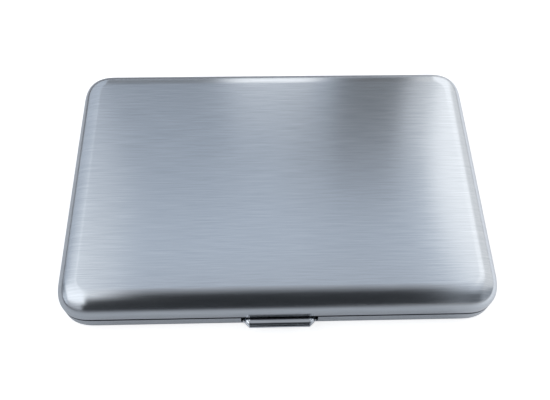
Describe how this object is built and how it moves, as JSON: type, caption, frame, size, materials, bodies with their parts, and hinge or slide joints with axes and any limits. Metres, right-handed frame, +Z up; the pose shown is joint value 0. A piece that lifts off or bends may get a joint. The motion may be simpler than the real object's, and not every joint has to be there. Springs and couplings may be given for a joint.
{
  "type": "business card case",
  "caption": "Slim hinged metal case for business cards, with a softly crowned brushed lid, a thumb catch in front, a knuckled hinge behind and a sprung card retainer inside.",
  "frame": {"origin": "middle of the base's flat bottom, on the surface the closed case lies on", "axes": "+X along the case's length, +Y towards the hinge, +Z up through the lid; the catch faces -Y"},
  "size_m": [0.095, 0.0662, 0.0127],
  "materials": {
    "brushed_shell": "satin, brushed along the length",
    "frame_steel": "satin, plain strip",
    "hinge_steel": "satin, rolled strip",
    "bright_wire": "drawn bright wire",
    "catch_steel": "polished",
    "spring_steel": "smooth, slightly darker",
    "rivet_steel": "bright domed heads"
  },
  "bodies": {
    "base": {"base_shell": "brushed_shell", "base_frame": "frame_steel", "base_hinge_leaf": "hinge_steel", "hinge_pin": "bright_wire", "retainer_rod": "bright_wire", "catch_spring": "spring_steel", "base_hinge_rivet_1": "rivet_steel", "base_hinge_rivet_2": "rivet_steel", "base_hinge_rivet_3": "rivet_steel", "base_hinge_rivet_4": "rivet_steel", "catch_spring_rivet_left": "rivet_steel", "catch_spring_rivet_right": "rivet_steel"},
    "lid": {"lid_shell": "brushed_shell", "lid_frame": "frame_steel", "lid_hinge_leaf": "hinge_steel", "strike_plate": "frame_steel", "lid_hinge_rivet_1": "rivet_steel", "lid_hinge_rivet_2": "rivet_steel", "lid_hinge_rivet_3": "rivet_steel", "lid_hinge_rivet_4": "rivet_steel", "strike_rivet_left": "rivet_steel", "strike_rivet_right": "rivet_steel"},
    "catch": {"thumb_piece": "catch_steel", "catch_hook": "spring_steel", "catch_rivet_left": "rivet_steel", "catch_rivet_right": "rivet_steel"},
    "retainer": {"card_retainer": "spring_steel", "retainer_spring_left": "spring_steel", "retainer_spring_right": "spring_steel"}
  },
  "joints": [
    {"name": "lid_hinge", "type": "hinge", "parent": "base", "child": "lid", "pos_m": [0, 0.032, 0.00605], "axis": [-1, 0, 0], "range_deg": [0, 175], "deforming": ["catch_hook"]},
    {"name": "catch_slide", "type": "slide", "parent": "base", "child": "catch", "axis": [0, 1, 0], "range_m": [0, 0.0012], "stiffness_N_per_m": 1000, "springref_m": -0.0005, "deforming": ["catch_spring"]},
    {"name": "retainer_hinge", "type": "hinge", "parent": "base", "child": "retainer", "pos_m": [0, 0.0276, 0.0037], "axis": [-1, 0, 0], "range_deg": [0, 9], "stiffness_Nm_per_rad": 0.02, "springref_deg": -28.65, "deforming": ["retainer_spring_left", "retainer_spring_right"]}
  ]
}
